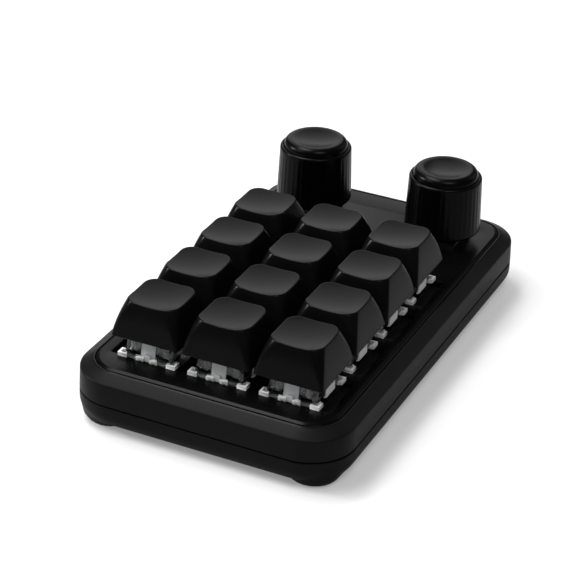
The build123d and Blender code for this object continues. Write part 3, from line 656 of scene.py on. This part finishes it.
def capRing(half, corner):
    corners = roundedRect(half, half, corner, capShape["cornerSteps"])
    ring, per = [], capShape["cornerSteps"] + 1
    for q in range(4):
        ring += corners[q * per:(q + 1) * per]
        a, b = Vector(corners[(q + 1) * per - 1]), Vector(corners[(q + 1) * per % len(corners)])
        ring += [tuple(a.lerp(b, n / capShape["sideSteps"])) for n in range(1, capShape["sideSteps"])]
    return ring


def dishHeight(x, y):
    r = capShape["dishRadius"]
    return capShape["dishLow"] + r - math.sqrt(r * r - x * x - y * y)


def capWall(z):
    return capRing(throughSections(z, 1), throughSections(z, 2))


def capPoint(n, z):
    # point n of the wall at its own height z, so that rings may wave up and down
    return Vector((*capWall(z)[n], z))


def drawKeycap():
    s = capShape
    count = len(capWall(0))
    edge, inside = [], []
    for n in range(count):
        z = s["dishLow"]
        for step in range(s["edgeTries"]):  # wall and dish meet where their heights agree
            x, y = capWall(z)[n]
            z = dishHeight(x, y)
        edge.append(Vector((x, y, z)))
        inner = Vector((x, y)) * (1 - s["rim"] / Vector((x, y)).length)
        inside.append(Vector((inner.x, inner.y, dishHeight(inner.x, inner.y))))
    below = [capPoint(n, edge[n].z - s["rim"]) for n in range(count)]
    rings = []
    hollowRings = [(s["hollow"][1], s["hollowHigh"]), (s["hollow"][0], s["lip"]), (s["hollow"][0] + s["lip"], 0.0)]
    for half, z in hollowRings:
        rings.append([(x, y, z) for x, y in capRing(half, s["hollowCorner"])])
    rings.append([(x, y, 0.0) for x, y in capRing(throughSections(0, 1) - s["lip"], throughSections(0, 2))])
    for share in s["wallShares"]:
        rings.append([tuple(capPoint(n, s["lip"] + share * (below[n].z - s["lip"]))) for n in range(count)])
    for t in s["rimShares"]:
        rings.append([tuple(below[n] * (1 - t) ** 2 + edge[n] * 2 * t * (1 - t) + inside[n] * t * t)
                      for n in range(count)])
    for share in s["dishShares"]:
        rings.append([(p.x * share, p.y * share, dishHeight(p.x * share, p.y * share)) for p in inside])
    bm = bmesh.new()
    loops = addRings(bm, rings)
    closeToTip(bm, loops[-1], (0, 0, s["dishLow"]))
    bm.faces.new(loops[0])
    # the round socket under the roof has a cross-shaped hole for the stem
    turns = [math.tau * n / s["socketSides"] for n in range(s["socketSides"])]
    ring = [(s["socket"] * math.cos(t), s["socket"] * math.sin(t)) for t in turns]
    a, b = s["crossSpan"], s["crossArm"]
    cross = [(a, -b), (a, b), (b, b), (b, a), (-b, a), (-b, b),
             (-a, b), (-a, -b), (-b, -b), (-b, -a), (b, -a), (b, -b)]
    addSlab(bm, ring, [cross[::-1]], s["socketLow"], s["hollowHigh"], 0.0, s["socketEdge"])
    return finishMesh(bm, "keycapBlank", sharp=40)


keycapBlank = drawKeycap()
for key in keyNames:
    mesh = meshFromTree(f"keycapShell_{key}", keycapBlank.copy(), setOnGrid,
                        {"columns": 1, "rows": 1, "middle": footOf(f"keycap_{key}"), "finish": capPbt})
    addPiece(f"keycapShell_{key}", mesh, capPbt, f"key_{key}", f"keycap_{key}")
print("keycaps made:", len(keyNames))


# Switch covers: a tapered clear shell with a hole for the stem, a window for the light guide and four clips

coverShape = {"base": 6.8, "top": 6.0, "corner": 1.4, "cornerStart": 0.8, "cornerLeast": 0.4, "cornerSteps": 8,
              "low": 1.0, "high": 6.2, "wall": 1.0, "rim": 0.35, "topEdge": 4.2, "stemX": 3.75, "stemY": 3.05,
              "stemCorner": 0.2, "window": 2.0, "windowDeep": 2.0, "windowCorner": 0.05, "windowSteps": 2,
              "windowLow": 0.0, "windowHigh": 5.15, "clipX": 4.125, "clipWide": 2.35, "clipRoot": 6.3,
              "clipBack": 7.05, "clipFront": 7.6, "clipLow": 0.1, "clipHigh": 1.8, "clipRound": 0.25,
              "roundSteps": 4}


def drawClips():
    # hooks at the front and the back that reach over the flange into its notches
    s = coverShape
    side = filleted([(s["clipRoot"], s["low"]), (s["clipBack"], s["low"]), (s["clipBack"], s["clipLow"]),
                     (s["clipFront"], s["clipLow"]), (s["clipFront"], s["clipHigh"]), (s["clipRoot"], s["clipHigh"])],
                    [0, 0, 0, s["clipRound"]], s["roundSteps"])
    bm = bmesh.new()
    for sx in (-1, 1):
        for sy in (-1, 1):
            ends = [[(sx * s["clipX"] + half * s["clipWide"] / 2, sy * y, z) for y, z in side] for half in (-1, 1)]
            for loop in addRings(bm, ends):
                bm.faces.new(loop)
    return finishMesh(bm, "coverClips")


def drawCover():
    s = coverShape
    slope = (s["base"] - s["top"]) / (s["high"] - s["low"])
    ceiling = s["high"] - s["wall"]

    def outline(inset):
        corner = max(s["cornerLeast"], s["corner"] - max(0, inset - s["cornerStart"]))
        return roundedRect(s["base"] - inset, s["base"] - inset, corner, s["cornerSteps"])

    outer = filleted([(0, s["low"]), (s["base"] - s["top"], s["high"]), (s["base"] - s["topEdge"], s["high"])],
                     [s["rim"]], s["roundSteps"])
    inner = [(slope * (ceiling - s["low"]) + s["wall"], ceiling), (s["wall"], s["low"])]
    hole = roundedRect(s["stemX"], s["stemY"], s["stemCorner"], s["cornerSteps"])
    bm = bmesh.new()
    loops = sweepOutline(bm, outline, outer)
    under = sweepOutline(bm, outline, inner)
    rims = addRings(bm, [[(x, y, z) for x, y in hole] for z in (ceiling, s["high"])])
    bridge(bm, under[-1], loops[0])
    bridge(bm, loops[-1], rims[1])
    bridge(bm, rims[0], under[0])
    shell = finishMesh(bm, "coverBlank")
    bm = bmesh.new()
    addSlab(bm, roundedRect(s["window"], s["windowDeep"], s["windowCorner"], s["windowSteps"]), [], s["windowLow"],
            s["windowHigh"], 0.0)
    window = finishMesh(bm, "windowCutter")
    window.transform(Matrix.Translation((0, -s["base"] * mm, 0)))
    return carveMesh(shell, (window, "DIFFERENCE"), (drawClips(), "UNION"))


coverMesh = meshFromTree(
    "switchCoverSet", drawCover(), setOnGrid,
    {"columns": keyColumns, "rows": keyRows, "pitchX": keyPitch, "pitchY": keyPitch,
     "middle": Vector((gridMiddle.x, gridMiddle.y, plateShape["high"] * mm)), "finish": clearPc})
addPiece("switchCoverSet", coverMesh, clearPc, "case", "switch_covers")
print("switch covers made")


# Return springs: one wire helix in each switch

springShape = {"turns": 8.0, "radius": 1.825, "wire": 0.35, "stepsPerTurn": 24, "sides": 8, "travel": 4.0}


def springTree():
    tree, given = newTree("woundSpring", turns="Float", radius="Float", height="Float", wire="Float", steps="Int",
                          sides="Int", foot="Vector")
    helix = addNode(tree, "GeometryNodeCurveSpiral", {"Resolution": given["steps"], "Rotations": given["turns"],
                                                     "Start Radius": given["radius"], "End Radius": given["radius"],
                                                     "Height": given["height"]})
    section = addNode(tree, "GeometryNodeCurvePrimitiveCircle", {"Resolution": given["sides"],
                                                                "Radius": given["wire"]})
    wire = addNode(tree, "GeometryNodeCurveToMesh", {"Curve": helix.outputs["Curve"],
                                                    "Profile Curve": section.outputs["Curve"], "Fill Caps": True})
    placed = addNode(tree, "GeometryNodeTransform", {"Geometry": wire.outputs["Mesh"], "Translation": given["foot"]})
    return endTree(tree, given, placed.outputs["Geometry"])


woundSpring = springTree()
s = springShape
wire = s["wire"] * mm
for key in keyNames:
    low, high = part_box(f"spring_{key}")
    foot, rise = footOf(f"spring_{key}"), high.z - low.z
    mesh = meshFromTree(f"springWire_{key}", bpy.data.meshes.new("empty"), woundSpring,
                        {"turns": s["turns"], "radius": s["radius"] * mm, "height": rise - wire, "wire": wire / 2,
                         "steps": s["stepsPerTurn"], "sides": s["sides"], "foot": foot + Vector((0, 0, wire / 2)),
                         "finish": springWire})
    mesh.shade_smooth()
    spring = addPiece(f"springWire_{key}", mesh, springWire, "case", f"spring_{key}")
    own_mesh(spring)
print("springs made")


# Knob: a turned outline with a grooved shoulder and dished cap; the tree presses the flutes into the skirt

knobShape = {"lift": 3.2, "foot": 10.3, "footRound": 0.9, "shoulder": 9.75, "shoulderHigh": 18.6,
             "shoulderRound": 0.65, "groove": 9.05, "grooveLow": 18.1, "capFoot": 8.85, "cap": 8.45, "capRound": 1.85,
             "roundSteps": 7, "high": 20.7, "dish": 6.5, "dishDepth": 0.85, "dishSteps": 8, "boss": 4.6,
             "bossLow": 10.2, "inside": 7.75, "roof": 15.7, "bore": 3.05, "boreHigh": 17.1, "around": 320,
             "longRun": 8, "skirtSteps": 14, "flutes": 40, "fluteDepth": 0.06, "fluteSharp": 1.6, "fluteLow": 4.4,
             "fluteHigh": 17.6, "fluteFade": 1.0, "fluteReach": 0.2}


def fluteTree():
    tree, given = newTree("fluteSkirt", flutes="Float", depth="Float", sharp="Float", low="Float", high="Float",
                          fade="Float", within="Float", place="Vector")
    where = addNode(tree, "GeometryNodeInputPosition").outputs["Position"]
    axes = addNode(tree, "ShaderNodeSeparateXYZ", {0: where}).outputs
    turn = addNode(tree, "ShaderNodeMath", {0: axes["Y"], 1: axes["X"]}, operation="ARCTAN2")
    wave = addNode(tree, "ShaderNodeMath", {0: turn.outputs[0], 1: given["flutes"]}, operation="MULTIPLY")
    crest = addNode(tree, "ShaderNodeMath", {0: wave.outputs[0]}, operation="COSINE")
    share = addNode(tree, "ShaderNodeMapRange", {"Value": crest.outputs[0], "From Min": -1.0, "From Max": 1.0})
    press = addNode(tree, "ShaderNodeMath", {0: share.outputs[0], 1: given["sharp"]}, operation="POWER")
    rise = addNode(tree, "ShaderNodeMath", {0: given["low"], 1: given["fade"]}, operation="ADD")
    fall = addNode(tree, "ShaderNodeMath", {0: given["high"], 1: given["fade"]}, operation="SUBTRACT")
    starts = addNode(tree, "ShaderNodeMapRange", {"Value": axes["Z"], "From Min": given["low"],
                                                 "From Max": rise.outputs[0]}, interpolation_type="SMOOTHSTEP")
    ends = addNode(tree, "ShaderNodeMapRange", {"Value": axes["Z"], "From Min": given["high"],
                                               "From Max": fall.outputs[0]}, interpolation_type="SMOOTHSTEP")
    both = addNode(tree, "ShaderNodeMath", {0: starts.outputs[0], 1: ends.outputs[0]}, operation="MULTIPLY")
    level = addNode(tree, "ShaderNodeVectorMath", {0: where, 1: (1.0, 1.0, 0.0)}, operation="MULTIPLY")
    reach = addNode(tree, "ShaderNodeVectorMath", {0: level.outputs[0]}, operation="LENGTH")
    outside = addNode(tree, "ShaderNodeMath", {0: reach.outputs["Value"], 1: given["within"]},
                      operation="GREATER_THAN")
    deep = addNode(tree, "ShaderNodeMath", {0: both.outputs[0], 1: press.outputs[0]}, operation="MULTIPLY")
    dent = addNode(tree, "ShaderNodeMath", {0: deep.outputs[0], 1: given["depth"]}, operation="MULTIPLY")
    held = addNode(tree, "ShaderNodeMath", {0: dent.outputs[0], 1: outside.outputs[0]}, operation="MULTIPLY")
    back = addNode(tree, "ShaderNodeMath", {0: held.outputs[0], 1: -1.0}, operation="MULTIPLY")
    radial = addNode(tree, "ShaderNodeVectorMath", {0: level.outputs[0]}, operation="NORMALIZE")
    offset = addNode(tree, "ShaderNodeVectorMath", {0: radial.outputs[0], "Scale": back.outputs[0]},
                     operation="SCALE")
    pressed = addNode(tree, "GeometryNodeSetPosition", {"Geometry": given["Geometry"], "Offset": offset.outputs[0]})
    placed = addNode(tree, "GeometryNodeTransform", {"Geometry": pressed.outputs["Geometry"],
                                                    "Translation": given["place"]})
    return endTree(tree, given, placed.outputs["Geometry"])


def drawKnob():
    s = knobShape
    outside = filleted(
        [(s["inside"], s["lift"]), (s["foot"], s["lift"]), (s["shoulder"], s["shoulderHigh"]),
         (s["groove"], s["shoulderHigh"]), (s["groove"], s["grooveLow"]), (s["capFoot"], s["grooveLow"]),
         (s["cap"], s["high"]), (s["dish"], s["high"])],
        [s["footRound"], s["shoulderRound"], 0, 0, 0, s["capRound"]], s["roundSteps"])
    skirt = []
    for a, b in zip(outside, outside[1:]):
        steps = s["skirtSteps"] if abs(b[1] - a[1]) > s["longRun"] else 1  # the flutes need rings up the skirt
        skirt += [(a[0] + (b[0] - a[0]) * n / steps, a[1] + (b[1] - a[1]) * n / steps) for n in range(steps)]
    bowl = [(s["dish"] * share, s["high"] - s["dishDepth"] * (1 - share ** 2))
            for share in (1 - n / s["dishSteps"] for n in range(s["dishSteps"]))]
    under = [(s["bore"], s["boreHigh"]), (s["bore"], s["bossLow"]), (s["boss"], s["bossLow"]),
             (s["boss"], s["roof"]), (s["inside"], s["roof"])]
    profile = under + skirt + bowl
    bm = bmesh.new()
    turns = [math.tau * n / s["around"] for n in range(s["around"])]
    loops = addRings(bm, [[(r * math.cos(t), r * math.sin(t), z) for t in turns] for r, z in profile])
    bm.faces.new(loops[0])
    closeToTip(bm, loops[-1], (0, 0, s["high"] - s["dishDepth"]))
    return finishMesh(bm, "knobBlank", sharp=40)


fluteSkirt = fluteTree()
knobBlank = drawKnob()
s = knobShape
for side in ("left", "right"):
    place = footOf(f"{side}_knob")
    place.z -= s["lift"] * mm
    mesh = meshFromTree(f"{side}KnobShell", knobBlank.copy(), fluteSkirt,
                        {"flutes": float(s["flutes"]), "depth": s["fluteDepth"] * mm, "sharp": s["fluteSharp"],
                         "low": s["fluteLow"] * mm, "high": s["fluteHigh"] * mm, "fade": s["fluteFade"] * mm,
                         "within": (s["shoulder"] - s["fluteReach"]) * mm, "place": place, "finish": knobAbs})
    addPiece(f"{side}KnobShell", mesh, knobAbs, f"{side}_knob", f"{side}_knob")
print("knobs made")


# Stage: pale floor, soft lights above, on both sides and behind

stageLook = {"floorSize": 6.0, "floor": "#cbcbcb", "roughness": 0.9, "shine": 0.1, "glowTone": "#ffffff",
             "glow": 0.25, "sky": 0.15}
floorMaterial, tree, shader = newMaterial("paleFloor")
shader.inputs["Base Color"].default_value = linear(stageLook["floor"])
shader.inputs["Emission Color"].default_value = linear(stageLook["glowTone"])
# a little glow keeps the floor white and the cast shadow faint, and isn't mirrored in the walls
seen = addNode(tree, "ShaderNodeLightPath").outputs["Is Camera Ray"]
glow = addNode(tree, "ShaderNodeMapRange", {"Value": seen, "To Max": stageLook["glow"]})
tree.links.new(glow.outputs["Result"], shader.inputs["Emission Strength"])
shader.inputs["Roughness"].default_value = stageLook["roughness"]
shader.inputs["Specular IOR Level"].default_value = stageLook["shine"]
half = stageLook["floorSize"] / 2
floorMesh = bpy.data.meshes.new("floor")
floorMesh.from_pydata([(-half, -half, 0), (half, -half, 0), (half, half, 0), (-half, half, 0)], [], [(0, 1, 2, 3)])
floorMesh.materials.append(floorMaterial)
linkObject("floor", floorMesh)

lamps = {
    "overheadSoftbox": {"at": (-0.5, -0.12, 1.2), "to": (0, 0, 0), "size": (0.62, 0.62), "watts": 11},
    "edgeSoftbox": {"at": (-0.5, 0.38, 1.2), "to": (0, 0, 0), "size": (0.3, 0.3), "watts": 6},
    "leftSoftbox": {"at": (-0.75, -0.75, 0.85), "to": (0, 0, 0), "size": (0.5, 0.5), "watts": 2.5},
    "backSoftbox": {"at": (-0.92, 1.55, 1.08), "to": (0, 0, 0.02), "size": (1.35, 1.5), "watts": 10},
    "sideSoftbox": {"at": (-0.98, -0.3, 0.48), "to": (0, 0, 0.02), "size": (0.25, 0.25), "watts": 7},
    "fillSoftbox": {"at": (0.45, -0.45, 1.1), "to": (0, 0, 0), "size": (0.5, 0.5), "watts": 5},
    "rightSoftbox": {"at": (0.95, 1.5, 1.0), "to": (0, 0, 0.02), "size": (1.0, 1.2), "watts": 2.2},
}
for name, lamp in lamps.items():
    light = bpy.data.lights.new(name, "AREA")
    light.shape = "RECTANGLE"
    light.size, light.size_y = lamp["size"]
    light.energy = lamp["watts"]
    stand = linkObject(name, light)
    stand.location = lamp["at"]
    stand.rotation_euler = (Vector(lamp["to"]) - Vector(lamp["at"])).to_track_quat("-Z", "Y").to_euler()

world = bpy.data.worlds.new("studio")
world.use_nodes = True
world.node_tree.nodes["Background"].inputs["Color"].default_value = (1, 1, 1, 1)
world.node_tree.nodes["Background"].inputs["Strength"].default_value = stageLook["sky"]
bpy.context.scene.world = world
bpy.context.scene.view_settings.view_transform = "Standard"

# Camera at the photograph's viewing angle
cameraView = {"at": (0.19155, -0.43505, 0.27931), "forward": (-0.36152, 0.79671, -0.48432), "roll": 2.138,
              "lens": 131.97, "sensor": 36, "nearest": 0.01}
camera = linkObject("camera", bpy.data.cameras.new("camera"))
camera.data.lens = cameraView["lens"]
camera.data.sensor_width = cameraView["sensor"]
camera.data.clip_start = cameraView["nearest"]
turn = Vector(cameraView["forward"]).to_track_quat("-Z", "Y").to_matrix()
turn = turn @ Matrix.Rotation(math.radians(cameraView["roll"]), 3, "Z")
camera.matrix_world = Matrix.Translation(cameraView["at"]) @ turn.to_4x4()
bpy.context.scene.camera = camera
print("stage and camera set")

bpy.context.view_layer.update()
